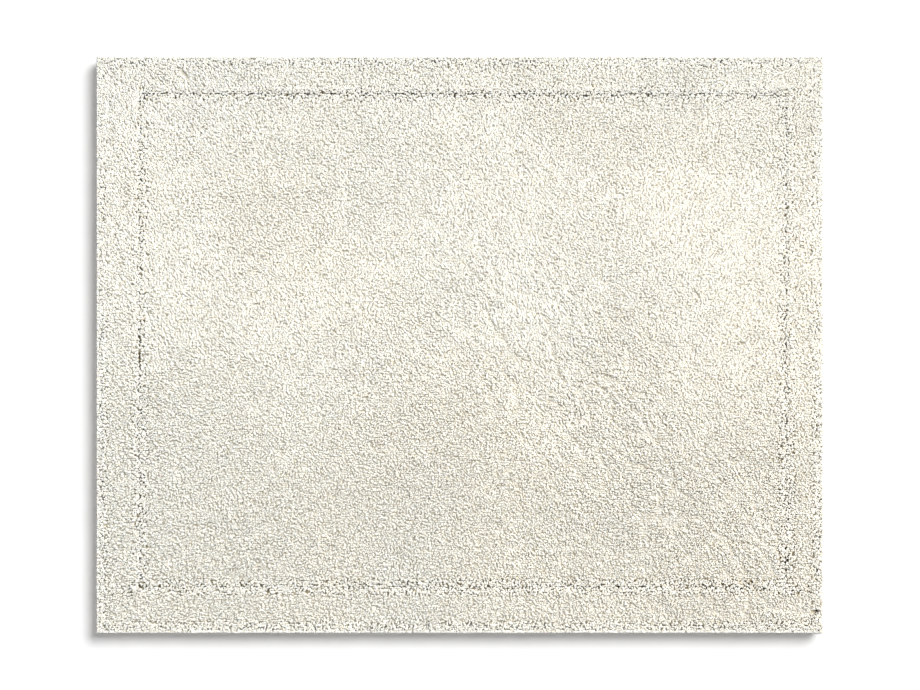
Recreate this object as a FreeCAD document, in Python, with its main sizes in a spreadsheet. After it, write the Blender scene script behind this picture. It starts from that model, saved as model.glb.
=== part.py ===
import FreeCAD, Part
import os
import Sketcher

# Bath mat: a woven backing cloth tufted with cut pile. An untufted channel divides the pile into
# a field and a border. Latex coats lie under the cloth and a mitred tape binds its edge.
# The origin is the middle of the underside, X runs along the long side, Y away from the near
# side, and Z up. Millimetres.

SIZES = [
    ("mat_length", 762, "overall length along X, over the hem tape"),
    ("mat_width", 605, "overall width along Y, over the hem tape"),
    ("pile_height", 19.5, "cut pile above the backing cloth"),
    ("pile_shoulder", 5, "radius where the pile rounds over into its sides"),
    ("pile_setback", 1, "pile stands back from the outside of the tape"),
    ("border_left", 43.5, "outline to the channel, left side"),
    ("border_right", 37, "outline to the channel, right side"),
    ("border_near", 47, "outline to the channel, near side"),
    ("border_far", 37.5, "outline to the channel, far side"),
    ("channel_width", 5, "untufted channel between border and field"),
    ("cloth_thickness", 0.9, "primary backing cloth"),
    ("lock_coat_thickness", 0.8, "latex that locks the tufts into the cloth"),
    ("tape_thickness", 0.8, "hem tape, and the grip coat that lies level with it"),
    ("tape_under_leg", 22, "width of the tape on the underside"),
    ("tape_top_leg", 6, "width of the tape on the top face"),
    ("mitre_gap", 1, "gap between two tape ends at a corner"),
    ("edge_seam_offset", 4, "outline to the middle of the edge seam"),
    ("inner_seam_offset", 18, "outline to the middle of the inner seam"),
    ("seam_width", 1.2, "channel that a seam presses into the tape"),
    ("seam_depth", 0.5, "depth of that channel"),
    ("thread_width", 1, "sewing thread across the seam"),
    ("thread_clearance", 0.05, "thread lies this far above the floor"),
    ("tack_start", 6, "outline to the outer end of a corner tack"),
    ("tack_length", 14, "corner tack along the mitre"),
    ("tack_width", 0.8, "corner tack across the mitre"),
    ("label_length", 42, "care label along the near side"),
    ("label_width", 26, "care label away from the near side"),
    ("label_thickness", 0.35, "care label"),
    ("label_offset", 170, "middle of the mat to the middle of the label"),
    ("label_clearance", 0.6, "grip coat stands back from the label"),
    ("label_seam_pitch", 4, "between the two seams of the label"),
]
SIDES = ("left", "right", "near", "far")
CORNERS = ((-1, -1), (1, -1), (1, 1), (-1, 1))
DIAGONAL = "sqrt(2) / 2"

doc = FreeCAD.newDocument("BathMat")
sheet = doc.addObject("Spreadsheet::Sheet", "Sizes")
for row, (alias, value, note) in enumerate(SIZES, start=1):
    sheet.set(f"A{row}", note)
    sheet.set(f"B{row}", str(value))
    sheet.setAlias(f"B{row}", alias)
doc.recompute()

sub_parts = []

# Heights of the layers above the floor
COAT_BASE = "Sizes.tape_thickness"
CLOTH_BASE = "(Sizes.tape_thickness + Sizes.lock_coat_thickness)"
PILE_BASE = f"({CLOTH_BASE} + Sizes.cloth_thickness)"
TAPE_HEIGHT = f"({PILE_BASE} + Sizes.tape_thickness)"

# Frames: the four lines of a rectangle seen from above, each an expression
OUTLINE = {
    "left": "-Sizes.mat_length / 2",
    "right": "Sizes.mat_length / 2",
    "near": "-Sizes.mat_width / 2",
    "far": "Sizes.mat_width / 2",
}
INWARD = {"left": "+", "right": "-", "near": "+", "far": "-"}


def inset(frame, distances):
    """The frame moved inwards by an expression, or by one expression for each side."""
    if isinstance(distances, str):
        distances = dict.fromkeys(SIDES, distances)
    return {side: f"{frame[side]} {INWARD[side]} ({distances[side]})" for side in SIDES}


def rectangle(frame):
    return [
        (frame["left"], frame["near"]),
        (frame["right"], frame["near"]),
        (frame["right"], frame["far"]),
        (frame["left"], frame["far"]),
    ]


def mitred_side(side, outer, inner, gap="0"):
    """One side of the ring between two frames, its mitred ends drawn back by gap."""
    points = []
    for frame, ends in ((outer, (0, 1)), (inner, (1, 0))):
        for end in ends:
            if side in ("near", "far"):
                along = (f"{frame['left']} + {gap}", f"{frame['right']} - {gap}")[end]
                points.append((along, frame[side]))
            else:
                along = (f"{frame['near']} + {gap}", f"{frame['far']} - {gap}")[end]
                points.append((frame[side], along))
    return points


def new_body(label, height="0"):
    body = doc.addObject("PartDesign::Body", label)
    body.Label = label
    body.setExpression(".Placement.Base.z", height)
    sub_parts.append(body)
    return body


def polygon_sketch(body, outlines, height="0"):
    """Closed outlines on the body's XY plane, every corner tied to the sheet."""
    sketch = body.newObject("Sketcher::SketchObject", f"{body.Name}_outline")
    plane = next(item for item in body.Origin.OriginFeatures if item.Role == "XY_Plane")
    sketch.AttachmentSupport = [(plane, "")]
    sketch.MapMode = "FlatFace"
    sketch.setExpression(".AttachmentOffset.Base.z", height)
    for points in outlines:
        add_outline(sketch, points)
    doc.recompute()
    return sketch


def add_outline(sketch, points):
    places = [
        FreeCAD.Vector(float(sketch.evalExpression(x)), float(sketch.evalExpression(y)), 0)
        for x, y in points
    ]
    count = len(points)
    lines = [
        sketch.addGeometry(Part.LineSegment(places[index], places[(index + 1) % count]), False)
        for index in range(count)
    ]
    for index, line in enumerate(lines):
        following = lines[(index + 1) % count]
        sketch.addConstraint(Sketcher.Constraint("Coincident", line, 2, following, 1))
    for line, place, expressions in zip(lines, places, points):
        for axis, value, expression in zip("XY", (place.x, place.y), expressions):
            number = sketch.addConstraint(
                Sketcher.Constraint(f"Distance{axis}", -1, 1, line, 1, value)
            )
            name = f"corner_{line}_{axis.lower()}"
            sketch.renameConstraint(number, name)
            sketch.setExpression(f"Constraints.{name}", expression)


def pad(body, points, thickness, height="0"):
    feature = body.newObject("PartDesign::Pad", f"{body.Name}_pad")
    feature.Profile = polygon_sketch(body, [points], height)
    feature.setExpression("Length", thickness)
    doc.recompute()


def pocket_up(body, outlines, depth):
    """Cut upwards from the body's base, and make sure that something is cut."""
    before = body.Shape.Volume
    feature = body.newObject("PartDesign::Pocket", f"{body.Name}_pocket")
    feature.Profile = polygon_sketch(body, outlines)
    feature.Reversed = True
    feature.setExpression("Length", depth)
    doc.recompute()
    if body.Shape.Volume >= before:
        raise RuntimeError(f"{body.Label}: the pocket cuts nothing")


def round_edges(body, wanted):
    """Round the edges of the body's tip that wanted picks."""
    base = body.Tip
    names = [
        f"Edge{number}"
        for number, edge in enumerate(base.Shape.Edges, start=1)
        if wanted(edge)
    ]
    feature = body.newObject("PartDesign::Fillet", f"{body.Name}_shoulder")
    feature.Base = (base, names)
    feature.setExpression("Radius", "Sizes.pile_shoulder")
    doc.recompute()


def is_top(edge):
    top = float(sheet.get("pile_height"))
    return all(abs(vertex.Point.z - top) < 1e-6 for vertex in edge.Vertexes)


def is_upright(edge):
    start, end = (vertex.Point for vertex in edge.Vertexes)
    return abs(start.z - end.z) > 1e-6


def runs_along(edge, side):
    start, end = (vertex.Point for vertex in edge.Vertexes)
    if side in ("near", "far"):
        return abs(start.y - end.y) < 1e-6
    return abs(start.x - end.x) < 1e-6


def new_box(name, size, place):
    box = doc.addObject("Part::Box", name)
    for attribute, expression in zip(("Length", "Width", "Height"), size):
        box.setExpression(attribute, expression)
    for axis, expression in zip("xyz", place):
        box.setExpression(f".Placement.Base.{axis}", expression)
    return box


def new_group(label, solids):
    group = doc.addObject("Part::Compound", label)
    group.Label = label
    group.Links = solids
    sub_parts.append(group)


# Frames shared by the pieces
BORDERS = {side: f"Sizes.border_{side}" for side in SIDES}
FIELD_EDGE = {side: f"Sizes.border_{side} + Sizes.channel_width" for side in SIDES}
INSIDE_TAPE = inset(OUTLINE, "Sizes.tape_thickness")
UNDER_LEG_EDGE = inset(OUTLINE, "Sizes.tape_under_leg")
TOP_LEG_EDGE = inset(OUTLINE, "Sizes.tape_top_leg")


def build_layers():
    backing = new_body("primary_backing", CLOTH_BASE)
    pad(backing, rectangle(INSIDE_TAPE), "Sizes.cloth_thickness")

    lock_coat = new_body("latex_lock_coat", COAT_BASE)
    pad(lock_coat, rectangle(INSIDE_TAPE), "Sizes.lock_coat_thickness")

    grip_coat = new_body("grip_coat")
    pad(grip_coat, rectangle(UNDER_LEG_EDGE), "Sizes.tape_thickness")
    clear = "Sizes.label_clearance"
    middle = "Sizes.label_offset"
    half = "Sizes.label_length / 2"
    near = UNDER_LEG_EDGE["near"]
    window = {
        "left": f"{middle} - {half} - {clear}",
        "right": f"{middle} + {half} + {clear}",
        "near": near,
        "far": f"{near} + Sizes.label_width + {clear}",
    }
    pocket_up(grip_coat, [rectangle(window)], "Sizes.tape_thickness")


def build_pile():
    field = new_body("field_pile", PILE_BASE)
    pad(field, rectangle(inset(OUTLINE, FIELD_EDGE)), "Sizes.pile_height")
    round_edges(field, lambda edge: is_top(edge) or is_upright(edge))

    outer = inset(OUTLINE, "Sizes.pile_setback")
    inner = inset(OUTLINE, BORDERS)
    tape_ring = [rectangle(OUTLINE), rectangle(TOP_LEG_EDGE)]
    for side in SIDES:
        border = new_body(f"border_pile_{side}", PILE_BASE)
        pad(border, mitred_side(side, outer, inner), "Sizes.pile_height")
        pocket_up(border, tape_ring, "Sizes.tape_thickness")
        round_edges(border, lambda edge: is_top(edge) and runs_along(edge, side))


def build_tape():
    gap = f"Sizes.mitre_gap * {DIAGONAL}"
    for side in SIDES:
        tape = new_body(f"hem_tape_{side}")
        pad(tape, mitred_side(side, OUTLINE, UNDER_LEG_EDGE, gap), "Sizes.tape_thickness")
        pad(tape, mitred_side(side, OUTLINE, INSIDE_TAPE, gap), TAPE_HEIGHT)
        pad(
            tape,
            mitred_side(side, OUTLINE, TOP_LEG_EDGE, gap),
            "Sizes.tape_thickness",
            PILE_BASE,
        )
        for seam in ("edge", "inner"):
            middle = f"Sizes.{seam}_seam_offset"
            outer = inset(OUTLINE, f"{middle} - Sizes.seam_width / 2")
            inner = inset(OUTLINE, f"{middle} + Sizes.seam_width / 2")
            pocket_up(tape, [mitred_side(side, outer, inner, gap)], "Sizes.seam_depth")


def build_hem_stitching():
    """Each seam is four runs of thread that stop short of the mitres."""
    lift = "Sizes.thread_clearance"
    height = f"Sizes.seam_depth - {lift}"
    wide = "Sizes.thread_width"
    for seam in ("edge", "inner"):
        middle = f"Sizes.{seam}_seam_offset"
        line = inset(OUTLINE, middle)
        end = f"({middle} + 2 * Sizes.seam_width)"
        runs = []
        for side in SIDES:
            name = f"{seam}_thread_{side}"
            across = f"{line[side]} - {wide} / 2"
            if side in ("near", "far"):
                size = (f"Sizes.mat_length - 2 * {end}", wide, height)
                place = (f"-Sizes.mat_length / 2 + {end}", across, lift)
            else:
                size = (wide, f"Sizes.mat_width - 2 * {end}", height)
                place = (across, f"-Sizes.mat_width / 2 + {end}", lift)
            runs.append(new_box(name, size, place))
        new_group(f"hem_{seam}_stitching", runs)


def build_corner_tacks():
    """A tack lies in each mitre, between the two tape ends, pointing at the middle."""
    lift = "Sizes.thread_clearance"
    size = ("Sizes.tack_length", "Sizes.tack_width", f"Sizes.tape_thickness - {lift}")
    shift = f"Sizes.tack_width / 2 * {DIAGONAL}"
    tacks = []
    for number, (x_sign, y_sign) in enumerate(CORNERS, start=1):
        x = f"{x_sign} * (Sizes.mat_length / 2 - Sizes.tack_start) - {y_sign} * {shift}"
        y = f"{y_sign} * (Sizes.mat_width / 2 - Sizes.tack_start) + {x_sign} * {shift}"
        tack = new_box(f"tack_{number}", size, (x, y, lift))
        direction = FreeCAD.Vector(-x_sign, -y_sign, 0)
        tack.Placement.Rotation = FreeCAD.Rotation(FreeCAD.Vector(1, 0, 0), direction)
        tacks.append(tack)
    new_group("corner_tacks", tacks)


def build_label():
    """The label lies against the lock coat, in the window of the grip coat."""
    near = UNDER_LEG_EDGE["near"]
    left = "Sizes.label_offset - Sizes.label_length / 2"
    underside = "Sizes.tape_thickness - Sizes.label_thickness"
    label = new_body("care_label", underside)
    frame = {
        "left": left,
        "right": f"{left} + Sizes.label_length",
        "near": near,
        "far": f"{near} + Sizes.label_width",
    }
    pad(label, rectangle(frame), "Sizes.label_thickness")

    lift = "Sizes.thread_clearance"
    size = (
        "Sizes.label_length - 2 * Sizes.thread_width",
        "Sizes.thread_width",
        f"{underside} - {lift}",
    )
    seams = []
    for number in (1, 2):
        place = (
            f"{left} + Sizes.thread_width",
            f"{near} + {number - 0.5} * Sizes.label_seam_pitch",
            lift,
        )
        seams.append(new_box(f"label_seam_{number}", size, place))
    new_group("label_stitching", seams)


def check_document():
    for item in doc.Objects:
        for state in ("Invalid", "Error"):
            if state in item.State:
                raise RuntimeError(f"{item.Label} is {item.State}")
    for item in sub_parts:
        if item.Shape.isNull() or not item.Shape.isValid() or not item.Shape.Solids:
            raise RuntimeError(f"{item.Label} has no valid solid")


build_layers()
build_pile()
build_tape()
build_hem_stitching()
build_corner_tacks()
build_label()
doc.recompute()
check_document()

os.makedirs("parts", exist_ok=True)
for sub_part in sub_parts:
    sub_part.Shape.exportStep(f"parts/{sub_part.Label}.step")
    box = sub_part.Shape.BoundBox
    print(
        f"{sub_part.Label}: {len(sub_part.Shape.Solids)} solid, "
        f"x {box.XMin:.2f}..{box.XMax:.2f} y {box.YMin:.2f}..{box.YMax:.2f} "
        f"z {box.ZMin:.2f}..{box.ZMax:.2f} volume {sub_part.Shape.Volume:.1f}"
    )
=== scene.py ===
import math
import random

import bmesh
import bpy
from bpy.props import FloatProperty, FloatVectorProperty, IntProperty, PointerProperty
from mathutils import Matrix, Vector, noise


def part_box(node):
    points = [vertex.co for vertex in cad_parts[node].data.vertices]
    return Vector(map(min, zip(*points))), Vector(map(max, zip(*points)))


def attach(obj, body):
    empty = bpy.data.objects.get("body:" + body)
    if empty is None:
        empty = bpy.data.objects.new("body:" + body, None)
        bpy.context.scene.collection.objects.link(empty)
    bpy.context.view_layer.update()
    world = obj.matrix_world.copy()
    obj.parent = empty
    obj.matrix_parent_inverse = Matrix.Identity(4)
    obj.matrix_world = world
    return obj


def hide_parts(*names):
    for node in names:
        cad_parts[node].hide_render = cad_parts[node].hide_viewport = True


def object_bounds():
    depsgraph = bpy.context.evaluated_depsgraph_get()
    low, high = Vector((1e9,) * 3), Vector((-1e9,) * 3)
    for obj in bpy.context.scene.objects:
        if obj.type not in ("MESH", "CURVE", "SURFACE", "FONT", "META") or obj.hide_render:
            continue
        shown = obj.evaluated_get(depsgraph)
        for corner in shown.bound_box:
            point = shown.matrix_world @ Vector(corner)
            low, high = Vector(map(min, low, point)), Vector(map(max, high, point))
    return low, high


bl_info = {
    "name": "Tufted Bath Mat",
    "version": (1, 0, 0),
    "blender": (4, 5, 0),
    "location": "View3D > Sidebar > Bath Mat",
    "description": "Builds a cut pile bath mat, its taped hem and its underside around the frame",
    "category": "Object",
}

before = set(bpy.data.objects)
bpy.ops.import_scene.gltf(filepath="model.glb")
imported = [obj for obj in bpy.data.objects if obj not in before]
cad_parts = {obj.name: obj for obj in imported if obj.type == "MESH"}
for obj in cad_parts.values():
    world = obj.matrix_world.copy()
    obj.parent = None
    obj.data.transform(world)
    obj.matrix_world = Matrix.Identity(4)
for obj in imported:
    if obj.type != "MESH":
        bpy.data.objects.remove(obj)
CAD_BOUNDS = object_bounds()
SIDES = ("left", "right", "near", "far")
OUTLINE_LOW, OUTLINE_HIGH = CAD_BOUNDS[0], CAD_BOUNDS[1]
FIELD_LOW, FIELD_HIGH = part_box("field_pile")
CLOTH_LOW, CLOTH_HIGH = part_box("primary_backing")
COAT_LOW, COAT_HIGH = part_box("grip_coat")
LABEL_LOW, LABEL_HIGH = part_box("care_label")
PILE_BASE = FIELD_LOW.z
PILE_TOP = FIELD_HIGH.z
BORDERS = {side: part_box(f"border_pile_{side}") for side in SIDES}
TAPES = {side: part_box(f"hem_tape_{side}") for side in SIDES}
TAPE_THICKNESS = COAT_HIGH.z
TAPE_HEIGHT = TAPES["near"][1].z
TAPE_UNDER_LEG = TAPES["near"][1].y - TAPES["near"][0].y
CHANNEL = {
    "left": (BORDERS["left"][1].x, FIELD_LOW.x),
    "right": (FIELD_HIGH.x, BORDERS["right"][0].x),
    "near": (BORDERS["near"][1].y, FIELD_LOW.y),
    "far": (FIELD_HIGH.y, BORDERS["far"][0].y),
}
OUTWARD = {
    "left": Vector((-1, 0)),
    "right": Vector((1, 0)),
    "near": Vector((0, -1)),
    "far": Vector((0, 1)),
}
OUTWARD_SIGN = {"left": -1, "right": 1, "near": -1, "far": 1}


def length(name, description, default):
    return FloatProperty(name=name, description=description, default=default, unit="LENGTH")


def amount(name, description, default):
    return FloatProperty(name=name, description=description, default=default)


def count(name, description, default):
    return IntProperty(name=name, description=description, default=default, min=1)


def colour(name, description, default):
    return FloatVectorProperty(
        name=name, description=description, default=default, size=3, subtype="COLOR", min=0, max=1
    )


class PileSettings(bpy.types.PropertyGroup):
    tuft_pitch: length("Tuft pitch", "Distance between neighbouring yarn ends", 0.00203)
    yarn_radius: length("Yarn radius", "Half the width of a yarn end at its cut tip", 0.0016)
    bed_share: amount("Bed share", "Height of the dense lower pile, as a share of the pile", 0.84)
    root_share: amount("Root share", "Height at which an inner yarn end begins", 0.45)
    jitter: amount("Jitter", "How far a yarn end strays from its row, in pitches", 0.36)
    uneven: length("Uneven", "How much the tips differ in height", 0.00026)
    wander: amount("Wander", "Random lean of each yarn end", 0.14)
    brush: amount("Brush", "Lean that neighbouring yarn ends share", 0.25)
    nap: amount("Nap", "Lean towards the far side, the way the mat was last brushed", 0.55)
    splay: amount("Splay", "How much the brushed lines fan out to the left and right", 1.2)
    sink: length("Sink", "How much lower the yarn ends in a parting stand", 0.0065)
    edge_start: length("Edge start", "Tape's outside to the outermost yarn roots", 0.0064)
    field_strips: count("Field strips", "Meshes that the field is kept in", 8)
    pinholes: amount("Pinholes", "Share of the yarn ends that stand low in the pile", 0.048)
    seed: count("Seed", "Start of the random draws", 11)


class HemSettings(bpy.types.PropertyGroup):
    top_leg: length("Top leg", "Width of the tape on the face of the mat", 0.006)
    edge_seam: length("Edge seam", "Outline to the seam near the fold", 0.004)
    inner_seam: length("Inner seam", "Outline to the seam near the tape's inner edge", 0.018)
    pinch: length("Pinch", "How far a seam draws the tape in", 0.00032)
    stitch_pitch: length("Stitch pitch", "Distance between stitches", 0.0042)
    stitch_length: length("Stitch length", "Visible length of a stitch", 0.0034)
    thread_radius: length("Thread radius", "Half the width of the sewing thread", 0.00026)
    dip: length("Dip", "How far the ends of a stitch dive into the cloth", 0.0003)


class FinishSettings(bpy.types.PropertyGroup):
    yarn_tip: colour("Yarn tip", "Brushed tips of the pile", (0.917, 0.915, 0.872))
    yarn_warm: colour("Warm yarn", "Warmer areas of the pile", (0.926, 0.91, 0.852))
    # Painted shade: the warm, darker colour that the yarn takes deep between the tips, where the
    # tips shade it. Unbleached ends take a little of it too.
    root_shade_and_unbleached: colour("Yarn root", "Yarn deep between the tips", (0.62, 0.525, 0.335))
    cloth: colour("Backing cloth", "Woven backing in the channel", (0.62, 0.52, 0.37))
    tape: colour("Hem tape", "Woven binding tape", (0.82, 0.845, 0.85))
    latex: colour("Latex", "Coats under the mat", (0.86, 0.84, 0.77))
    thread: colour("Thread", "Sewing thread", (0.88, 0.87, 0.83))
    label: colour("Label", "Blank care label", (0.9, 0.9, 0.88))
    floor: colour("Floor", "Plain pale floor", (0.985, 0.985, 0.985))


class StageSettings(bpy.types.PropertyGroup):
    camera_height: length("Camera height", "Camera above the floor", 4)
    seen_width: length("Seen width", "Width that the view takes in at the floor", 0.967)
    floor_radius: length("Floor radius", "Flat part of the floor", 7.5)
    sweep: length("Sweep", "Bend where the floor turns up into the backdrop", 1.5)
    key_power: amount("Key power", "Strength of the large soft light", 3.22)
    key_width: FloatProperty(
        name="Key width",
        description="Width of the large soft light, as seen from the mat",
        default=math.radians(35),
        subtype="ANGLE",
    )
    key_place: FloatVectorProperty(
        name="Key place",
        description="Where the large soft light hangs. It shines at the middle of the mat",
        default=(2.3, 2.3, 3.8),
        subtype="XYZ",
    )
    fill: amount("Fill", "Strength of the light from all round", 0.28)


class BathMatSettings(bpy.types.PropertyGroup):
    pile: PointerProperty(type=PileSettings)
    hem: PointerProperty(type=HemSettings)
    finish: PointerProperty(type=FinishSettings)
    stage: PointerProperty(type=StageSettings)


# Materials


class Value:
    """What comes out of a node, as a value that Python's operators work on."""

    def __init__(self, material, socket):
        self.material = material
        self.socket = socket

    def __add__(self, other):
        return self.material.compute("ADD", self, other)

    def __sub__(self, other):
        return self.material.compute("SUBTRACT", self, other)

    def __rsub__(self, other):
        return self.material.compute("SUBTRACT", other, self)

    def __mul__(self, other):
        return self.material.compute("MULTIPLY", self, other)

    def __abs__(self):
        return self.material.compute("ABSOLUTE", self)

    __radd__ = __add__
    __rmul__ = __mul__


class Finish:
    """A material under construction, with one Principled shader."""

    def __init__(self, name, **constants):
        self.material = bpy.data.materials.new(name)
        self.material.use_nodes = True
        self.nodes = self.material.node_tree.nodes
        self.nodes.clear()
        output = self.nodes.new("ShaderNodeOutputMaterial")
        self.shader = self.nodes.new("ShaderNodeBsdfPrincipled")
        self.material.node_tree.links.new(self.shader.outputs[0], output.inputs["Surface"])
        for socket, value in constants.items():
            self.shader.inputs[socket.replace("_", " ")].default_value = value

    def node(self, kind, settings=None, sockets=None, output=0):
        made = self.nodes.new(kind)
        for name, value in (settings or {}).items():
            setattr(made, name, value)
        for name, value in (sockets or {}).items():
            self.feed(made.inputs[name], value)
        return Value(self, made.outputs[output])

    def feed(self, socket, value):
        if isinstance(value, Value):
            self.material.node_tree.links.new(value.socket, socket)
        elif socket.type == "RGBA" and len(value) == 3:
            socket.default_value = (*value, 1)
        else:
            socket.default_value = value

    def compute(self, operation, *values):
        return self.node("ShaderNodeMath", {"operation": operation}, dict(enumerate(values)))

    def place(self, scale=(1, 1, 1), turn=0):
        here = self.node("ShaderNodeTexCoord", output="Object")
        return self.node(
            "ShaderNodeMapping",
            sockets={"Vector": here, "Scale": scale, "Rotation": (0, 0, turn)},
        )

    def axes(self, vector):
        split = self.node("ShaderNodeSeparateXYZ", sockets={0: vector})
        outputs = split.socket.node.outputs
        return [Value(self, outputs[index]) for index in range(3)]

    def noise(self, vector, scale, detail=2):
        return self.node(
            "ShaderNodeTexNoise",
            sockets={"Vector": vector, "Scale": scale, "Detail": detail},
        )

    def wave(self, value, pitch):
        """A sine of a length, from 0 to 1, that repeats every pitch."""
        return self.compute("SINE", value * (2 * math.pi / pitch)) * 0.5 + 0.5

    def spread(self, value, low, high, to_low=0.0, to_high=1.0):
        return self.node(
            "ShaderNodeMapRange",
            {"clamp": True},
            {"Value": value, "From Min": low, "From Max": high, "To Min": to_low, "To Max": to_high},
        )

    def mix(self, factor, first, second):
        return self.node(
            "ShaderNodeMix",
            {"data_type": "RGBA"},
            {0: factor, 6: first, 7: second},
            output=2,
        )

    def bump(self, height, strength, distance):
        return self.node(
            "ShaderNodeBump",
            sockets={"Height": height, "Strength": strength, "Distance": distance},
        )

    def done(self, base, roughness, normal):
        self.feed(self.shader.inputs["Base Color"], base)
        self.feed(self.shader.inputs["Roughness"], roughness)
        self.feed(self.shader.inputs["Normal"], normal)
        return self.material


def shade(rgb, factor):
    """A colour made darker or lighter."""
    return tuple(channel * factor for channel in rgb)


def yarn_finish(finish, bed=False):
    """Brushed cotton: ivory tips over a warm, darker painted shade lower down, in cooler and warmer
    areas, with painted shade towards the far edge.
    """
    yarn = Finish(
        "pile_bed_yarn" if bed else "pile_yarn",
        Specular_IOR_Level=0.15,
        Subsurface_Weight=0.46,
        Subsurface_Radius=(1.0, 0.9, 0.72),
        Subsurface_Scale=0.002,
    )
    yarn.shader.subsurface_method = "BURLEY"
    x, y, z = yarn.axes(yarn.place())
    flat = yarn.place(scale=(1, 1, 0.05))
    areas = yarn.noise(flat, scale=4.5, detail=3)
    warmth = yarn.spread(areas + x * 0.35 - y * 0.25, 0.35, 0.65)
    tips = yarn.mix(warmth, tuple(finish.yarn_tip), tuple(finish.yarn_warm))
    ends = yarn.noise(flat, scale=420, detail=1)
    unbleached = yarn.spread(ends, 0.3, 0.5, to_low=0.2, to_high=0.0)
    tips = yarn.mix(unbleached, tips, tuple(finish.root_shade_and_unbleached))
    # Painted shade: below the tips the yarn turns to the root shade colour, the more the deeper it
    # lies
    rise = yarn.spread(z, PILE_TOP - 0.0055, PILE_TOP - 0.0018)
    # The painted root shade starts further down in the outer walls of the pile, so the yarn there
    # stays bright
    wall_x, wall_y, wall_fade = OUTLINE_HIGH[0] - 0.015, OUTLINE_HIGH[1] - 0.0155, 0.008
    wall = yarn.compute(
        "MAXIMUM",
        yarn.spread(abs(x), wall_x, wall_x + wall_fade),
        yarn.spread(abs(y), wall_y, wall_y + wall_fade),
    )
    wall_unshaded = wall * yarn.spread(z, PILE_BASE, PILE_TOP - 0.004, to_low=0.55, to_high=1.0)
    rise = yarn.compute("MAXIMUM", rise, wall_unshaded)
    # Painted shade: the tips darken towards the far edge
    far_edge_shade = yarn.spread(y, 0.17, 0.3, to_low=0.0, to_high=0.3)
    tips = yarn.mix(far_edge_shade, tips, shade(finish.yarn_tip, 0.8))
    base = yarn.mix(rise, tuple(finish.root_shade_and_unbleached), tips)
    fibres = yarn.noise(yarn.place(scale=(1, 1, 0.2)), scale=1500, detail=2)
    roughness = yarn.spread(fibres, 0.2, 0.8, to_low=0.86, to_high=1.0)
    return yarn.done(base, roughness, yarn.bump(fibres, strength=0.2, distance=0.0003))


def cloth_finish(finish):
    """Plain weave of coarse unbleached yarn."""
    cloth = Finish("backing_cloth")
    x, y, _ = cloth.axes(cloth.place())
    yarn_pitch = 0.0011
    weave = cloth.wave(x, yarn_pitch) * cloth.wave(y, yarn_pitch)
    slubs = cloth.noise(cloth.place(scale=(1, 0.2, 1)), scale=300)
    base = cloth.mix(weave, shade(finish.cloth, 0.6), tuple(finish.cloth))
    pale = cloth.spread(slubs, 0.4, 0.7, to_low=0, to_high=0.3)
    base = cloth.mix(pale, base, shade(finish.cloth, 1.3))
    roughness = cloth.spread(weave, 0, 1, to_low=0.95, to_high=0.85)
    return cloth.done(base, roughness, cloth.bump(weave, strength=0.8, distance=0.0005))


def latex_finish(finish, name="latex"):
    """Matt foamed latex over the rows of back stitches."""
    latex = Finish(name, Specular_IOR_Level=0.35)
    x, y, _ = latex.axes(latex.place())
    row_pitch, stitch_pitch, sway = 0.003, 0.0032, 0.0016
    dashes = latex.wave(x + latex.wave(y, 2 * row_pitch) * sway, stitch_pitch)
    rows = latex.wave(y, row_pitch)
    foam = latex.noise(latex.place(), scale=900, detail=3)
    cloud = latex.noise(latex.place(), scale=9, detail=3)
    relief = dashes * rows * 0.7 + foam * 0.35
    base = latex.mix(latex.spread(relief, 0.1, 0.8), shade(finish.latex, 0.82), tuple(finish.latex))
    stain = latex.spread(cloud, 0.45, 0.7, to_low=0, to_high=0.35)
    base = latex.mix(stain, base, shade(finish.latex, 0.88))
    roughness = latex.spread(foam, 0.3, 0.7, to_low=0.5, to_high=0.72)
    return latex.done(base, roughness, latex.bump(relief, strength=0.7, distance=0.0005))


def tape_finish(finish, side):
    """Herringbone cotton tape, its chevrons along the tape."""
    turn = 0 if side in ("near", "far") else math.pi / 2
    tape = Finish(f"hem_tape_{'long' if turn == 0 else 'short'}", Sheen_Weight=0.1)
    along, across, up = tape.axes(tape.place(turn=turn))
    chevron = tape.compute("PINGPONG", across, 0.0035)
    twill = tape.wave(along + chevron + up, pitch=0.0011)
    soil = tape.noise(tape.place(), scale=60, detail=3)
    base = tape.mix(twill, shade(finish.tape, 0.8), tuple(finish.tape))
    soiled = tape.spread(soil, 0.5, 0.8, to_low=0, to_high=0.25)
    base = tape.mix(soiled, base, shade(finish.tape, 0.86))
    roughness = tape.spread(twill, 0, 1, to_low=0.92, to_high=0.78)
    return tape.done(base, roughness, tape.bump(twill, strength=0.8, distance=0.0004))


def thread_finish(finish):
    """Spun sewing thread with a fine twist."""
    thread = Finish("sewing_thread", Sheen_Weight=0.15)
    x, y, z = thread.axes(thread.place())
    twist = thread.wave(x + y + z * 0.5, pitch=0.0006)
    base = thread.mix(twist, shade(finish.thread, 0.78), tuple(finish.thread))
    roughness = thread.spread(twist, 0, 1, to_low=0.7, to_high=0.55)
    return thread.done(base, roughness, thread.bump(twist, strength=0.5, distance=0.0002))


def label_finish(finish):
    """Satin woven label with no print, and a denser selvedge along its free long edge."""
    label = Finish("label_satin", Sheen_Weight=0.2)
    x, y, _ = label.axes(label.place())
    ribs = label.wave(y, pitch=0.0005)
    floats = label.wave(x + y * 3, pitch=0.0014)
    weave = ribs * 0.6 + floats * 0.4
    selvedge = label.spread(y, LABEL_HIGH.y - 0.0022, LABEL_HIGH.y - 0.0018)
    base = label.mix(weave, shade(finish.label, 0.86), tuple(finish.label))
    base = label.mix(selvedge * 0.5, base, shade(finish.label, 0.75))
    roughness = label.spread(weave, 0, 1, to_low=0.5, to_high=0.34)
    return label.done(base, roughness, label.bump(weave, strength=0.4, distance=0.0002))


# Meshes


def keep_mesh(bm, name):
    mesh = bpy.data.meshes.new(name)
    bm.to_mesh(mesh)
    bm.free()
    return mesh


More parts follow.
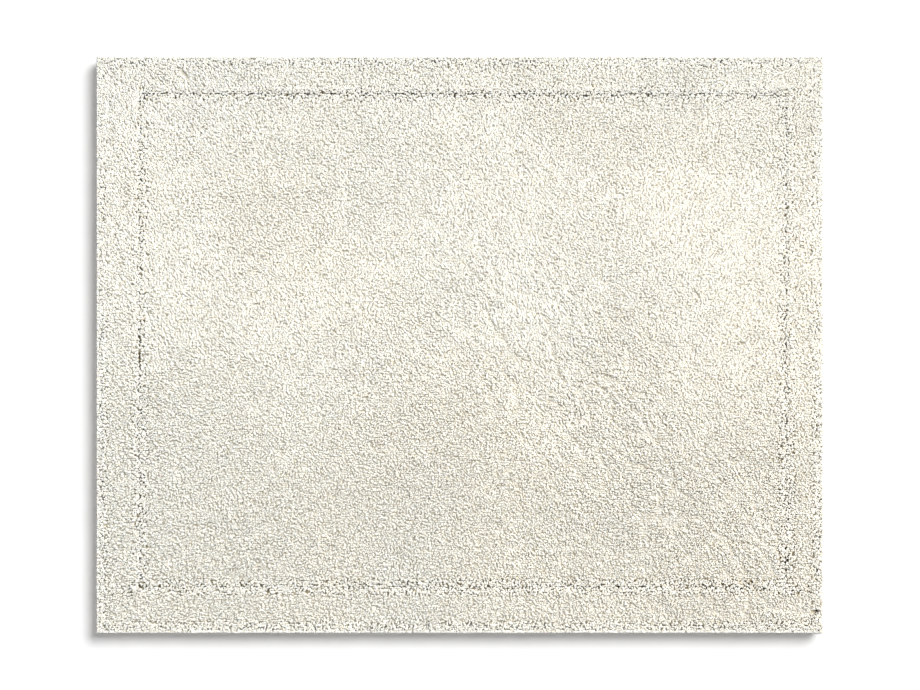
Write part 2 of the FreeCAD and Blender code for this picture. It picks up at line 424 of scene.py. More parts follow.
def finish_piece(bm, name, material, nodes, curved=True):
    """Turn a bmesh into a piece of the mat that rides with it and stands for CAD nodes."""
    for face in bm.faces:
        face.smooth = curved or abs(face.normal.z) > 0.5
    mesh = keep_mesh(bm, name)
    mesh.materials.append(material)
    piece = bpy.data.objects.new(name, mesh)
    bpy.context.scene.collection.objects.link(piece)
    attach(piece, "root")
    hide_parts(*nodes)
    return piece


def thicken(piece, thickness):
    """Give a sheet its thickness, half of it on each side."""
    wall = piece.modifiers.new("thickness", "SOLIDIFY")
    wall.thickness = thickness
    wall.offset = 0


def grow(bm, edges):
    """Extrude a ring of edges in place, and return the new ring's vertices and edges."""
    grown = bmesh.ops.extrude_edge_only(bm, edges=edges)["geom"]
    verts = [item for item in grown if isinstance(item, bmesh.types.BMVert)]
    edges = [item for item in grown if isinstance(item, bmesh.types.BMEdge)]
    return verts, edges


def centre_of(verts):
    return sum((vert.co for vert in verts), Vector()) / len(verts)


def stamp(bm, small, place):
    """Copy a small mesh into a larger one at a place."""
    small.transform(place)
    bm.from_mesh(small)
    small.transform(place.inverted())


def held_in(value, low, high):
    return min(max(value, low), high)


def ripple(x, y, scale, height, shift=0.0):
    """Smooth random height that changes over about one scale."""
    return height * noise.noise(Vector((x / scale, y / scale, shift)))


def rounding(distance, reach, depth, power=2):
    """How far a top is rounded down at a distance inwards from its edge."""
    return depth * max(0, 1 - distance / reach) ** power


def bumpy_slab(low, high, cell, lumps, roll):
    """A closed slab whose top is lumpy and rolls over at its sides."""
    size = high - low
    bm = bmesh.new()
    bmesh.ops.create_grid(
        bm,
        x_segments=max(2, round(size.x / cell)),
        y_segments=max(2, round(size.y / cell)),
        size=0.5,
    )
    bmesh.ops.scale(bm, vec=(size.x, size.y, 1), verts=bm.verts)
    middle = (low + high) / 2
    bmesh.ops.translate(bm, vec=(middle.x, middle.y, high.z), verts=bm.verts)
    for vert in bm.verts:
        x, y = vert.co.x, vert.co.y
        inside = min(x - low.x, high.x - x, y - low.y, high.y - y)
        drop = rounding(inside, reach=roll, depth=roll)
        vert.co.z += ripple(x, y, scale=0.006, height=lumps) - drop
    grown = bmesh.ops.extrude_face_region(bm, geom=bm.faces[:])
    lower = [item for item in grown["geom"] if isinstance(item, bmesh.types.BMVert)]
    for vert in lower:
        vert.co.z = low.z
    bmesh.ops.recalc_face_normals(bm, faces=bm.faces)
    return bm


# The pile


# Rings of a yarn end: share of its height, growth over the ring below, twist
LONG_RINGS = ((0.4, 1.1, 0.5), (0.78, 1.2, 0.5), (0.95, 0.86, 0.4))
SHORT_RINGS = ((0.62, 1.3, 0.6), (0.92, 0.88, 0.4))
# Radius of a yarn end's root, as a share of its own radius
ROOT_WIDTH = 0.75
# Shapes of each kind of yarn end
VARIANTS = 12


def yarn_end(radius, height, rings, bend, turn):
    """One cut yarn end that swells towards its rounded tip. The middle of its tip is the origin."""
    bm = bmesh.new()
    bmesh.ops.create_circle(bm, segments=3, radius=radius * ROOT_WIDTH)
    bmesh.ops.rotate(bm, matrix=Matrix.Rotation(turn, 3, "Z"), verts=bm.verts)
    edges = bm.edges[:]
    level = 0.0
    for share, swell, twist in rings:
        verts, edges = grow(bm, edges)
        centre = centre_of(verts)
        bmesh.ops.rotate(bm, matrix=Matrix.Rotation(twist, 3, "Z"), verts=verts, cent=centre)
        space = Matrix.Translation(-centre)
        bmesh.ops.scale(bm, vec=(swell, swell, 1), verts=verts, space=space)
        step = Vector((bend * height * (share ** 2 - level ** 2), 0, height * (share - level)))
        bmesh.ops.translate(bm, vec=step, verts=verts)
        level = share
    cap = bmesh.ops.contextual_create(bm, geom=edges)["faces"]
    tip = bmesh.ops.poke(bm, faces=cap)["verts"]
    bmesh.ops.translate(bm, vec=(bend * height * 0.1, 0, height * (1 - level)), verts=tip)
    bmesh.ops.translate(bm, vec=(-bend * height, 0, -height), verts=bm.verts)
    bmesh.ops.recalc_face_normals(bm, faces=bm.faces)
    for face in bm.faces:
        face.smooth = True
    return keep_mesh(bm, "yarn_end")


def yarn_ends(pile, draw):
    """Long yarn ends for the edges, and short ones for the middle, each with another bend."""
    tall = PILE_TOP - PILE_BASE
    short = tall * (1 - pile.root_share)
    kinds = (
        ("long", pile.yarn_radius * 1.15, tall, LONG_RINGS),
        ("short", pile.yarn_radius, short, SHORT_RINGS),
    )
    return {
        kind: [
            yarn_end(radius, height, rings, draw.uniform(0.0, 0.1), draw.uniform(0, 1.2))
            for _ in range(VARIANTS)
        ]
        for kind, radius, height, rings in kinds
    }


# Places where the pile has parted: middle x and y, direction in degrees, half length, half width
PARTINGS = (
    (-0.2895, 0.2855, -53, 0.0085, 0.0020),
    (0.3685, -0.2800, 20, 0.0070, 0.0014),
    (-0.2020, -0.2600, 80, 0.0040, 0.0013),
    (0.2500, -0.1150, -42, 0.0050, 0.0013),
)


def parted(x, y):
    """How deep in a parting a point is, from 0 to 1."""
    deepest = 0
    for middle_x, middle_y, direction, half_length, half_width in PARTINGS:
        angle = math.radians(direction)
        away = Vector((x - middle_x, y - middle_y))
        along = away.x * math.cos(angle) + away.y * math.sin(angle)
        across = -away.x * math.sin(angle) + away.y * math.cos(angle)
        reach = math.hypot(along / half_length, across / half_width)
        deepest = max(deepest, 1 - reach)
    return deepest


# The diagonal brushed band runs along the line where x + y has this value
BAND_LINE = 0.06


def brushed_band(x, y, width, start, fade):
    """The brushed band's strength at a point, from 0 to 1. It fades in from a start along x."""
    across = x + y - BAND_LINE
    return math.exp(-((across / width) ** 2)) * held_in((x - start) / fade, 0, 1)


def creased(x, y):
    """How deep a crease of the brushed band is at a point, from 0 to 1."""
    along, across = x - y, x + y - BAND_LINE
    line = abs(noise.noise(Vector((along / 0.07, across / 0.028, 1.7))))
    return brushed_band(x, y, width=0.13, start=-0.08, fade=0.12) * max(0, 1 - line / 0.13)


def channel_gap(x, y):
    """Signed distance outwards from the channel's middle line, and the side it is on."""
    nearest = None
    for side, (low, high) in CHANNEL.items():
        reach, run = (x, y) if side in ("left", "right") else (y, x)
        middle = (low + high) / 2 + ripple(run, 0, scale=0.03, height=0.0009, shift=low)
        offset = (reach - middle) * OUTWARD_SIGN[side]
        if nearest is None or offset > nearest[0]:
            nearest = (offset, side)
    return nearest


def edge_distance(x, y):
    """Distance inwards from the nearest side of the outline."""
    return min(x - OUTLINE_LOW[0], OUTLINE_HIGH[0] - x, y - OUTLINE_LOW[1], OUTLINE_HIGH[1] - y)


def drift(x, y, scale, shift):
    """Smooth random vector in the plane that changes over about one scale."""
    return noise.noise_vector(Vector((x / scale, y / scale, shift))).to_2d()


def pile_lean(x, y, pile, draw):
    """How far a yarn end leans at a point, as a horizontal vector for each unit of height."""
    broad = drift(x, y, scale=0.11, shift=3.1)
    close = drift(x, y, scale=0.016, shift=8.4)
    lean = (broad * 1.3 + close) * pile.brush
    band = brushed_band(x, y, width=0.16, start=-0.05, fade=0.15)
    # The nap lies towards the far side, except along the near side, and fans out left and right
    farwards = held_in((y + 0.12) / 0.14, -0.4, 1)
    fan = x * (pile.splay + 1.5 * max(0, -farwards))
    lean += Vector((fan - 0.9 * band, farwards + 0.5 * band)) * pile.nap
    lean += Vector((draw.gauss(0, 1), draw.gauss(0, 1))) * pile.wander
    return lean


def border_side(x, y):
    """Which border strip a point lies in: the strips meet at mitres."""
    shares = {
        "left": (x - OUTLINE_LOW[0]) / (CHANNEL["left"][0] - OUTLINE_LOW[0]),
        "right": (OUTLINE_HIGH[0] - x) / (OUTLINE_HIGH[0] - CHANNEL["right"][1]),
        "near": (y - OUTLINE_LOW[1]) / (CHANNEL["near"][0] - OUTLINE_LOW[1]),
        "far": (OUTLINE_HIGH[1] - y) / (OUTLINE_HIGH[1] - CHANNEL["far"][1]),
    }
    return min(shares, key=shares.get)


# How far the tips on each side of the channel close over it
CLOSED = {"left": 0.0001, "right": 0.0005, "near": 0.001, "far": 0.0007}
# How far inside the outline the tips of the outermost yarn ends stop
OVERHANG = {"left": 0.0018, "right": 0.0012, "near": 0.0022, "far": 0.0010}
# Distance from the channel's middle line to the nearest yarn roots
ROOT_CLEARANCE = 0.0029
# Width of the edge and of the channel's side where the yarn ends are long
EDGE_BAND, CHANNEL_BAND = 0.012, 0.007
# Share of its lean that a yarn end keeps at the edge and the channel, and the widths over which
# the rest comes back
KEPT_LEAN, EDGE_FADE, CHANNEL_FADE = 0.35, 0.018, 0.011
# Spread of the place where the field's yarn ends and the border's begins
SEAM_SPREAD = 0.0009


def tip_place(row, column, pile, draw):
    """A place on the jittered rows, every second one of which is shifted by half a pitch."""
    pitch = pile.tuft_pitch
    stray = pile.jitter * pitch
    shift = 0.5 * pitch * (row % 2)
    x = OUTLINE_LOW[0] + column * pitch + shift + draw.uniform(-stray, stray)
    y = OUTLINE_LOW[1] + row * pitch + draw.uniform(-stray, stray)
    return x, y


def sinking(x, y, offset, channel_side, pile):
    """How much lower a yarn end stands in a parting, or in an open place of the channel."""
    if parted(x, y) > 0:
        return 2 * pile.sink
    gap = ripple(x, y, scale=0.02, height=0.0014, shift=5.5) - CLOSED[channel_side]
    return pile.sink if abs(offset) < gap else 0


def tip_height(x, y, closest, offset, pile, draw):
    """Height of a tip over the pile's base, lower at the outer edge, the channel and a crease."""
    # The tips are less even towards the left and the near side
    rough = 1.1 - 0.8 * x - 2.6 * y
    height = PILE_TOP - PILE_BASE + draw.gauss(0, 1) * pile.uneven * rough
    if draw.random() < pile.pinholes * rough:
        height -= draw.uniform(0.002, 0.0045)
    height -= rounding(closest, reach=0.006, depth=0.0016)
    height -= rounding(abs(offset), reach=0.006, depth=0.0005, power=1.5)
    return height - 0.002 * creased(x, y)


def rooted_lean(x, y, height, lean, offset, pile):
    """A yarn end's lean once its root is kept off the tape and out of the channel."""
    start = pile.edge_start
    root = Vector((x, y)) - lean * height
    root.x = held_in(root.x, OUTLINE_LOW[0] + start, OUTLINE_HIGH[0] - start)
    root.y = held_in(root.y, OUTLINE_LOW[1] + start, OUTLINE_HIGH[1] - start)
    root_offset, root_side = channel_gap(root.x, root.y)
    clear = ROOT_CLEARANCE if offset > 0 else -ROOT_CLEARANCE
    if root_offset * offset < 0 or abs(root_offset) < ROOT_CLEARANCE:
        root += OUTWARD[root_side] * (clear - root_offset)
    return (Vector((x, y)) - root) / height


def standing(x, y, height, lean, draw):
    """Where a yarn end goes: its tip at a place and a height, and its stem along the lean."""
    wide = 1 + draw.uniform(-0.15, 0.15)
    reach = math.hypot(1, lean.length) * height / (PILE_TOP - PILE_BASE)
    tilt = math.atan(lean.length)
    heading = math.atan2(lean.y, lean.x)
    return (
        Matrix.Translation((x, y, PILE_BASE + height))
        @ Matrix.Rotation(heading, 4, "Z")
        @ Matrix.Rotation(tilt, 4, "Y")
        @ Matrix.Rotation(draw.uniform(0, 6.28), 4, "Z")
        @ Matrix.Diagonal((wide, wide, reach, 1))
    )


def plant(pile, wanted, draw):
    """Plant yarn ends over the whole mat, their tips in jittered rows, in a mesh for each piece."""
    variants = yarn_ends(pile, draw)
    pieces = {}
    pitch = pile.tuft_pitch
    columns = int((OUTLINE_HIGH[0] - OUTLINE_LOW[0]) / pitch)
    rows = int((OUTLINE_HIGH[1] - OUTLINE_LOW[1]) / pitch)
    spill = 0.3 * pitch
    for row in range(rows + 1):
        for column in range(columns + 1):
            x, y = tip_place(row, column, pile, draw)
            if edge_distance(x, y) < -spill:
                continue
            x = held_in(x, OUTLINE_LOW[0] + OVERHANG["left"], OUTLINE_HIGH[0] - OVERHANG["right"])
            y = held_in(y, OUTLINE_LOW[1] + OVERHANG["near"], OUTLINE_HIGH[1] - OVERHANG["far"])
            closest = edge_distance(x, y)
            offset, channel_side = channel_gap(x, y)
            sunk = sinking(x, y, offset, channel_side, pile)
            offset += draw.gauss(0, SEAM_SPREAD)
            lean = pile_lean(x, y, pile, draw)
            height = tip_height(x, y, closest, offset, pile, draw) - sunk
            outer = closest < EDGE_BAND or abs(offset) < CHANNEL_BAND
            if outer:
                nearness = min(closest / EDGE_FADE, abs(offset) / CHANNEL_FADE)
                lean *= min(1, KEPT_LEAN + nearness)
                lean = rooted_lean(x, y, height, lean, offset, pile)
            end = draw.choice(variants["long" if outer else "short"])
            name = wanted(x, y, offset)
            if name not in pieces:
                pieces[name] = bmesh.new()
            stamp(pieces[name], end, standing(x, y, height, lean, draw))
    for meshes in variants.values():
        for mesh in meshes:
            bpy.data.meshes.remove(mesh)
    return pieces


class BathMatOperator:
    """What the mat's operators share."""

    bl_options = {"REGISTER", "UNDO"}

    def execute(self, context):
        self.build(context.scene.bath_mat)
        return {"FINISHED"}


class BATHMAT_OT_frame_finish(BathMatOperator, bpy.types.Operator):
    """Give the carried-over latex lock coat its finish"""

    bl_idname = "bathmat.frame_finish"
    bl_label = "Lock coat finish"

    def build(self, settings):
        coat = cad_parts["latex_lock_coat"]
        coat.data.materials.clear()
        coat.data.materials.append(latex_finish(settings.finish, "lock_latex"))


class BATHMAT_OT_backing(BathMatOperator, bpy.types.Operator):
    """Lay the woven backing cloth that the yarn is tufted through"""

    bl_idname = "bathmat.backing"
    bl_label = "Backing cloth"

    def build(self, settings):
        bm = bumpy_slab(CLOTH_LOW, CLOTH_HIGH, cell=0.012, lumps=0.00008, roll=0.0003)
        cloth = finish_piece(
            bm, "backing_cloth", cloth_finish(settings.finish), ["primary_backing"]
        )


class BATHMAT_OT_grip_coat(BathMatOperator, bpy.types.Operator):
    """Spray the ribbed non-slip coat under the mat"""

    bl_idname = "bathmat.grip_coat"
    bl_label = "Grip coat"

    rib_pitch: length("Rib pitch", "Distance between the ribs over the tuft rows", 0.003)
    rib_height: length("Rib height", "Depth of the grooves between the ribs", 0.00028)
    clear: length("Clear", "Gap between the coat and the label in it", 0.0006)

    def build(self, settings):
        size = COAT_HIGH - COAT_LOW
        bm = bmesh.new()
        rows = round(size.y / (self.rib_pitch / 4))
        bmesh.ops.create_grid(bm, x_segments=10, y_segments=rows, size=0.5)
        bmesh.ops.scale(bm, vec=(size.x, size.y, 1), verts=bm.verts)
        middle = (COAT_LOW + COAT_HIGH) / 2
        bmesh.ops.translate(bm, vec=(middle.x, middle.y, COAT_LOW.z), verts=bm.verts)
        window_low, window_high = LABEL_LOW.x - self.clear, LABEL_HIGH.x + self.clear
        window_end = LABEL_HIGH.y + self.clear
        cuts = ((window_low, (1, 0, 0)), (window_high, (1, 0, 0)), (window_end, (0, 1, 0)))
        for place, normal in cuts:
            bmesh.ops.bisect_plane(
                bm,
                geom=bm.verts[:] + bm.edges[:] + bm.faces[:],
                plane_co=Vector(normal) * place,
                plane_no=normal,
            )
        window = [
            face
            for face in bm.faces
            if window_low < face.calc_center_median().x < window_high
            and face.calc_center_median().y < window_end
        ]
        bmesh.ops.delete(bm, geom=window, context="FACES")
        for vert in bm.verts:
            rib = 0.5 + 0.5 * math.cos(2 * math.pi * vert.co.y / self.rib_pitch)
            vert.co.z += self.rib_height * rib
        grown = bmesh.ops.extrude_face_region(bm, geom=bm.faces[:])
        for item in grown["geom"]:
            if isinstance(item, bmesh.types.BMVert):
                item.co.z = COAT_HIGH.z
        bmesh.ops.recalc_face_normals(bm, faces=bm.faces)
        finish_piece(
            bm,
            "grip_coat_ribbed",
            latex_finish(settings.finish),
            ["grip_coat"],
            curved=False,
        )


class BATHMAT_OT_pile_beds(BathMatOperator, bpy.types.Operator):
    """Fill the lower pile, where the yarn is packed too close to see between"""

    bl_idname = "bathmat.pile_beds"
    bl_label = "Pile beds"

    outer_setback: length("Outer setback", "Bed to the outside of the pile", 0.0078)
    channel_setback: length("Channel setback", "Bed to the side of the channel", 0.0016)
    cell: length("Cell", "Length of a step over the bed", 0.006)
    lumps: length("Lumps", "Height of the lumps on the bed", 0.0014)
    roll: length("Roll", "How far the bed's sides are rounded down", 0.004)

    def build(self, settings):
        material = yarn_finish(settings.finish, bed=True)
        top = PILE_BASE + settings.pile.bed_share * (PILE_TOP - PILE_BASE)
        inner = Vector((self.channel_setback, self.channel_setback, 0))
        low = FIELD_LOW + inner
        high = Vector((*(FIELD_HIGH - inner).xy, top))
        spans = {"field": (low, high)}
        for side, (box_low, box_high) in BORDERS.items():
            low, high = box_low.copy(), box_high.copy()
            axis = 0 if side in ("left", "right") else 1
            outwards_low = side in ("left", "near")
            low[axis] += self.outer_setback if outwards_low else self.channel_setback
            high[axis] -= self.channel_setback if outwards_low else self.outer_setback
            if axis == 1:
                low.x += self.outer_setback
                high.x -= self.outer_setback
            else:
                low.y = BORDERS["near"][1].y
                high.y = BORDERS["far"][0].y
            high.z = top
            spans[side] = (low, high)
        for side, (low, high) in spans.items():
            bm = bumpy_slab(low, high, self.cell, self.lumps, self.roll)
            node = "field_pile" if side == "field" else f"border_pile_{side}"
            finish_piece(bm, f"pile_bed_{side}", material, [node])


class BATHMAT_OT_tufts(BathMatOperator, bpy.types.Operator):
    """Plant the cut yarn ends of the field and the border"""

    bl_idname = "bathmat.tufts"
    bl_label = "Tufts"

    def build(self, settings):
        pile = settings.pile
        draw = random.Random(pile.seed)
        noise.seed_set(pile.seed)
        strip = (FIELD_HIGH.y - FIELD_LOW.y) / pile.field_strips

        def wanted(x, y, offset):
            if offset > 0:
                return f"border_tufts_{border_side(x, y)}"
            number = int((y - FIELD_LOW.y) / strip)
            return f"field_tufts_{max(0, min(pile.field_strips - 1, number)) + 1}"

        material = yarn_finish(settings.finish)
        for name, bm in sorted(plant(pile, wanted, draw).items()):
            side = name.rsplit("_", 1)[1]
            node = f"border_pile_{side}" if side in SIDES else "field_pile"
            finish_piece(bm, name, material, [node])


def tape_profile(hem):
    """The folded tape across its length: distance in from the outline, and height."""
    half = TAPE_THICKNESS / 2
    radius = TAPE_HEIGHT / 2 - half
    points = [(TAPE_UNDER_LEG - half, half)]
    slope = 0.0012
    for seam in (hem.inner_seam, hem.edge_seam):
        points += [(seam + slope, half), (seam, half + hem.pinch), (seam - slope, half)]
    fold = radius + half
    fold_steps = 6
    for step in range(fold_steps + 1):
        angle = math.pi * (0.5 + step / fold_steps)
        points.append((fold + radius * math.cos(angle), fold - radius * math.sin(angle)))
    points.append((hem.edge_seam, TAPE_HEIGHT - half - hem.pinch / 2))
    points.append((hem.top_leg - half, TAPE_HEIGHT - half))
    return points


def side_frame(side):
    """Origin at the near or left corner of a side, u along the side, v inwards from the outline."""
    low_x, low_y = OUTLINE_LOW[0], OUTLINE_LOW[1]
    high_x, high_y = OUTLINE_HIGH[0], OUTLINE_HIGH[1]
    along, inward, corner, span = {
        "near": ((1, 0), (0, 1), (low_x, low_y), high_x - low_x),
        "far": ((1, 0), (0, -1), (low_x, high_y), high_x - low_x),
        "left": ((0, 1), (1, 0), (low_x, low_y), high_y - low_y),
        "right": ((0, 1), (-1, 0), (high_x, low_y), high_y - low_y),
    }[side]
    return Vector((*corner, 0)), Vector((*along, 0)), Vector((*inward, 0)), span


class BATHMAT_OT_hem_tapes(BathMatOperator, bpy.types.Operator):
    """Fold a binding tape over each side and mitre its ends"""

    bl_idname = "bathmat.hem_tapes"
    bl_label = "Hem tapes"

    mitre_gap: length("Mitre gap", "Gap between two tape ends", 0.0004)
    cell: length("Cell", "Length of a step along the tape", 0.006)

    def build(self, settings):
        hem = settings.hem
        profile = tape_profile(hem)
        for side in SIDES:
            corner, along, inward, span = side_frame(side)
            bm = bmesh.new()
            verts = [bm.verts.new(corner + inward * v + Vector((0, 0, z))) for v, z in profile]
            edges = [bm.edges.new(pair) for pair in zip(verts, verts[1:])]
            steps = round(span / self.cell)
            bmesh.ops.spin(
                bm,
                geom=verts + edges,
                cent=(0, 0, 0),
                axis=(0, 0, 1),
                dvec=along * (span / steps),
                angle=0,
                steps=steps,
                use_merge=False,
            )
            for end, sign in ((corner, 1), (corner + along * span, -1)):
                bmesh.ops.bisect_plane(
                    bm,
                    geom=bm.verts[:] + bm.edges[:] + bm.faces[:],
                    plane_co=end + along * sign * self.mitre_gap,
                    plane_no=inward - along * sign,
                    clear_outer=True,
                )
            for vert in bm.verts:
                reach = (vert.co - corner).dot(inward)
                place = (vert.co - corner).dot(along)
                if vert.co.z < TAPE_HEIGHT / 2 and reach > hem.top_leg:
                    wave = ripple(place, reach, scale=0.02, height=0.0004, shift=corner.x)
                    vert.co += inward * wave
            bmesh.ops.recalc_face_normals(bm, faces=bm.faces)
            tape = finish_piece(
                bm,
                f"hem_tape_{side}_folded",
                tape_finish(settings.finish, side),
                [f"hem_tape_{side}"],
            )
            thicken(tape, TAPE_THICKNESS)


# Rings of a stitch: share of its length, how deep it dives, growth over the ring before
STITCH_RINGS = ((0.25, 0, 1.6), (0.5, 0, 1.0), (0.25, 1, 0.62))


def stitch_mesh(length_along, radius, dip):
    """One stitch: a short thread whose two ends dive into the cloth."""
    bm = bmesh.new()
    bmesh.ops.create_circle(bm, segments=5, radius=radius * 0.6)
    bmesh.ops.rotate(bm, matrix=Matrix.Rotation(math.pi / 2, 3, "Y"), verts=bm.verts)
    bmesh.ops.translate(bm, vec=(-length_along / 2, 0, dip), verts=bm.verts)
    bmesh.ops.contextual_create(bm, geom=bm.edges[:])
    edges = bm.edges[:]
    height = dip
    for share, dive, swell in STITCH_RINGS:
        verts, edges = grow(bm, edges)
        level = dip * dive
        bmesh.ops.translate(bm, vec=(length_along * share, 0, level - height), verts=verts)
        height = level
        space = Matrix.Translation(-centre_of(verts))
        bmesh.ops.scale(bm, vec=(1, swell, swell), verts=verts, space=space)
    bmesh.ops.contextual_create(bm, geom=edges)
    bmesh.ops.recalc_face_normals(bm, faces=bm.faces)
    return keep_mesh(bm, "stitch")


def sew(bm, stitch, start, direction, spacing, number, slant=0.0, alternate=False):
    """Repeat a stitch along a line."""
    heading = math.atan2(direction.y, direction.x)
    for index in range(number):
        turn = heading + (slant if not alternate or index % 2 else -slant)
        spot = start + direction * spacing * (index + 0.5)
        stamp(bm, stitch, Matrix.Translation(spot) @ Matrix.Rotation(turn, 4, "Z"))


class BATHMAT_OT_hem_stitches(BathMatOperator, bpy.types.Operator):
    """Sew the two seams of the hem"""

    bl_idname = "bathmat.hem_stitches"
    bl_label = "Hem stitches"

    clear: length("Clear", "Gap between the stitches and the floor", 0.00006)
    slant: amount("Slant", "Turn of a stitch away from its seam, in radians", 0.06)

    def build(self, settings):
        hem = settings.hem
        material = thread_finish(settings.finish)
        stitch = stitch_mesh(hem.stitch_length, hem.thread_radius, hem.dip)
        level = hem.thread_radius + self.clear
        for seam, inset in (("edge", hem.edge_seam), ("inner", hem.inner_seam)):
            bm = bmesh.new()
            for side in SIDES:
                corner, along, inward, span = side_frame(side)
                number = int((span - 2 * inset) / hem.stitch_pitch) - 1
                slack = (span - 2 * inset - number * hem.stitch_pitch) / 2
                start = corner + inward * inset + along * (inset + slack)
                start.z = level
                sew(bm, stitch, start, along, hem.stitch_pitch, number, slant=self.slant)
            finish_piece(
                bm, f"hem_{seam}_stitches", material, [f"hem_{seam}_stitching"]
            )
        bpy.data.meshes.remove(stitch)


class BATHMAT_OT_corner_tacks(BathMatOperator, bpy.types.Operator):
    """Close the four mitres with a zigzag of stitches"""

    bl_idname = "bathmat.corner_tacks"
    bl_label = "Corner tacks"

    tack_start: length("Tack start", "Corner to the first stitch, along each side", 0.005)
    tack_pitch: length("Tack pitch", "Distance between zigzag stitches", 0.0015)
    tack_stitches: count("Stitches", "Stitches across a mitre", 10)
    clear: length("Clear", "Gap between the stitches and the floor", 0.00004)
    slant: amount("Slant", "Turn of a stitch away from the mitre, in degrees", 62)

    def build(self, settings):
        hem = settings.hem
        stitch = stitch_mesh(hem.stitch_length, hem.thread_radius, hem.dip)
        bm = bmesh.new()
        for x, inward_x in ((OUTLINE_LOW[0], 1), (OUTLINE_HIGH[0], -1)):
            for y, inward_y in ((OUTLINE_LOW[1], 1), (OUTLINE_HIGH[1], -1)):
                inwards = Vector((inward_x, inward_y, 0))
                start = Vector((x, y, 0)) + inwards * self.tack_start
                start.z = hem.thread_radius + self.clear
                sew(
                    bm,
                    stitch,
                    start,
                    inwards.normalized(),
                    self.tack_pitch,
                    self.tack_stitches,
                    slant=math.radians(self.slant),
                    alternate=True,
                )
        bpy.data.meshes.remove(stitch)
        material = thread_finish(settings.finish)
        finish_piece(bm, "corner_tack_stitches", material, ["corner_tacks"])


class BATHMAT_OT_care_label(BathMatOperator, bpy.types.Operator):
    """Sew the blank care label under the near side"""

    bl_idname = "bathmat.care_label"
    bl_label = "Care label"

    droop: length("Droop", "How far the free edge hangs down", 0.00012)
    thinner: amount("Thinner", "The label's thread and stitches, as a share of the hem's", 0.8)
    closer: amount("Closer", "The label's stitch pitch, as a share of the hem's", 0.85)
    seam_pitch: length("Seam pitch", "Distance between the two rows of stitches", 0.004)
    seam_inset: length("Seam inset", "End of a row of stitches to the label's end", 0.001)
    thread_level: length("Thread level", "Height of the stitches above the floor", 0.00027)
    dip: length("Dip", "How far the ends of a stitch dive into the label", 0.0001)

    def build(self, settings):
        size = LABEL_HIGH - LABEL_LOW
        bm = bmesh.new()
        bmesh.ops.create_grid(bm, x_segments=16, y_segments=10, size=0.5)
        bmesh.ops.scale(bm, vec=(size.x, size.y, 1), verts=bm.verts)
        middle = (LABEL_LOW + LABEL_HIGH) / 2
        bmesh.ops.translate(bm, vec=middle, verts=bm.verts)
        for vert in bm.verts:
            free = (vert.co.y - LABEL_LOW.y) / size.y
            wave = ripple(vert.co.x, vert.co.y, scale=0.01, height=0.00006)
            vert.co.z -= self.droop * free ** 2 + wave
        label = finish_piece(
            bm, "care_label_blank", label_finish(settings.finish), ["care_label"]
        )
        thicken(label, size.z * 0.8)

        hem = settings.hem
        thread = self.thinner
        stitch = stitch_mesh(hem.stitch_length * thread, hem.thread_radius * thread, self.dip)
        bm = bmesh.new()
        pitch = hem.stitch_pitch * self.closer
        number = int((size.x - 2 * self.seam_inset) / pitch)
        for row in (0.5, 1.5):
            across = LABEL_LOW.y + self.seam_pitch * row
            start = Vector((LABEL_LOW.x + self.seam_inset, across, self.thread_level))
            sew(bm, stitch, start, Vector((1, 0, 0)), pitch, number)
        bpy.data.meshes.remove(stitch)
        material = thread_finish(settings.finish)
        finish_piece(bm, "label_stitches", material, ["label_stitching"])


def lay_floor(stage, tint):
    """A round floor that bends up into a backdrop."""
    bm = bmesh.new()
    bmesh.ops.create_circle(bm, cap_ends=True, segments=96, radius=stage.floor_radius)
    edges = bm.edges[:]
    reach, level = stage.floor_radius, 0.0
    bend_steps = 8
    for step in range(1, bend_steps + 2):
        angle = math.pi / 2 * min(step, bend_steps) / bend_steps
        wall = stage.sweep if step > bend_steps else 0
        wider = stage.floor_radius + stage.sweep * math.sin(angle)
        rise = stage.sweep * (1 - math.cos(angle)) + wall
        verts, edges = grow(bm, edges)
        bmesh.ops.scale(bm, vec=(wider / reach, wider / reach, 1), verts=verts)
        bmesh.ops.translate(bm, vec=(0, 0, rise - level), verts=verts)
        reach, level = wider, rise
    for face in bm.faces:
        face.smooth = True
    floor = bpy.data.objects.new("floor", keep_mesh(bm, "floor"))
    bpy.context.scene.collection.objects.link(floor)
    paint = Finish("floor_paint", Specular_IOR_Level=0.2)
    grain = paint.noise(paint.place(), scale=40, detail=2)
    base = paint.mix(paint.spread(grain, 0.3, 0.7), shade(tint, 0.995), tint)
    roughness = paint.spread(grain, 0, 1, to_low=0.7, to_high=0.8)
    relief = paint.bump(grain, strength=0.02, distance=0.0002)
    floor.data.materials.append(paint.done(base, roughness, relief))


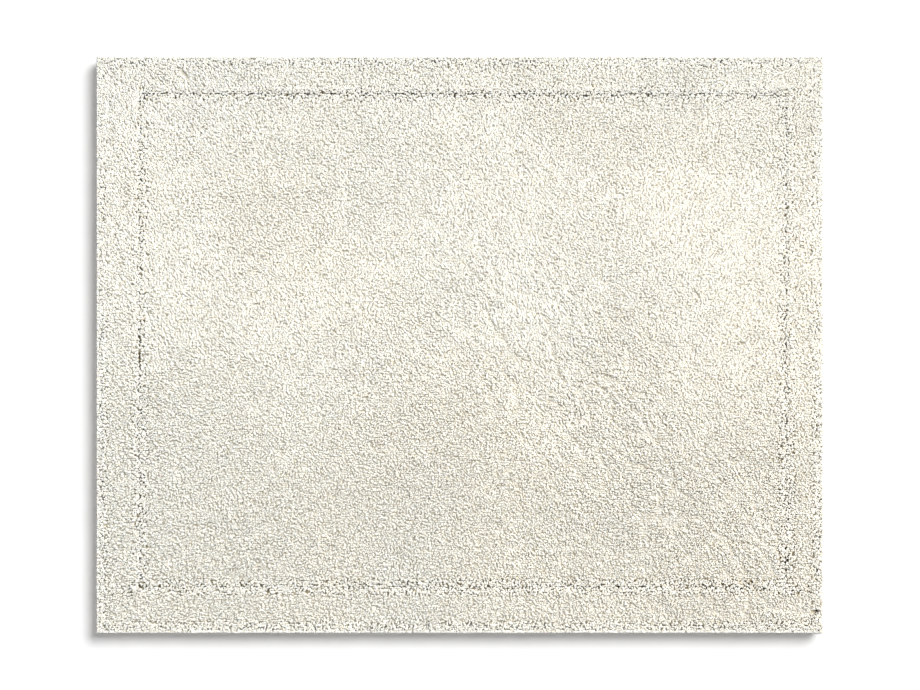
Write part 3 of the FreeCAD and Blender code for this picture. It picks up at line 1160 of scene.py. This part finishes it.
def light_studio(stage):
    """A white room that gives the fill, and one large soft key."""
    scene = bpy.context.scene
    world = bpy.data.worlds.new("studio")
    world.use_nodes = True
    backdrop = world.node_tree.nodes["Background"]
    backdrop.inputs["Color"].default_value = (1, 1, 1, 1)
    backdrop.inputs["Strength"].default_value = stage.fill
    scene.world = world
    scene.view_settings.view_transform = "Standard"
    key = bpy.data.lights.new("key", "SUN")
    key.angle = stage.key_width
    key.energy = stage.key_power
    lamp = bpy.data.objects.new("key", key)
    lamp.location = stage.key_place
    lamp.rotation_euler = (-lamp.location).to_track_quat("-Z", "Y").to_euler()
    scene.collection.objects.link(lamp)


def hang_camera(stage):
    """A camera straight above the mat."""
    scene = bpy.context.scene
    lens = bpy.data.cameras.new("camera")
    camera = bpy.data.objects.new("camera", lens)
    camera.location = (0, 0, stage.camera_height)
    lens.lens = lens.sensor_width * stage.camera_height / stage.seen_width
    scene.collection.objects.link(camera)
    scene.camera = camera


class BATHMAT_OT_stage(BathMatOperator, bpy.types.Operator):
    """Set up the floor, the light and the camera"""

    bl_idname = "bathmat.stage"
    bl_label = "Stage"

    def build(self, settings):
        lay_floor(settings.stage, tuple(settings.finish.floor))
        light_studio(settings.stage)
        hang_camera(settings.stage)


OPERATORS = (
    BATHMAT_OT_frame_finish,
    BATHMAT_OT_backing,
    BATHMAT_OT_grip_coat,
    BATHMAT_OT_pile_beds,
    BATHMAT_OT_tufts,
    BATHMAT_OT_hem_tapes,
    BATHMAT_OT_hem_stitches,
    BATHMAT_OT_corner_tacks,
    BATHMAT_OT_care_label,
    BATHMAT_OT_stage,
)


class BATHMAT_PT_panel(bpy.types.Panel):
    """Lists the mat's operators"""

    bl_label = "Bath Mat"
    bl_idname = "BATHMAT_PT_panel"
    bl_space_type = "VIEW_3D"
    bl_region_type = "UI"
    bl_category = "Bath Mat"

    def draw(self, context):
        for operator in OPERATORS:
            self.layout.operator(operator.bl_idname)


GROUPS = (PileSettings, HemSettings, FinishSettings, StageSettings, BathMatSettings)
CLASSES = (*GROUPS, *OPERATORS, BATHMAT_PT_panel)


def register():
    for item in CLASSES:
        bpy.utils.register_class(item)
    bpy.types.Scene.bath_mat = PointerProperty(type=BathMatSettings)


def unregister():
    del bpy.types.Scene.bath_mat
    for item in reversed(CLASSES):
        bpy.utils.unregister_class(item)


def main():
    register()
    for operator in OPERATORS:
        category, name = operator.bl_idname.split(".")
        getattr(getattr(bpy.ops, category), name)()


if __name__ == "__main__":
    main()
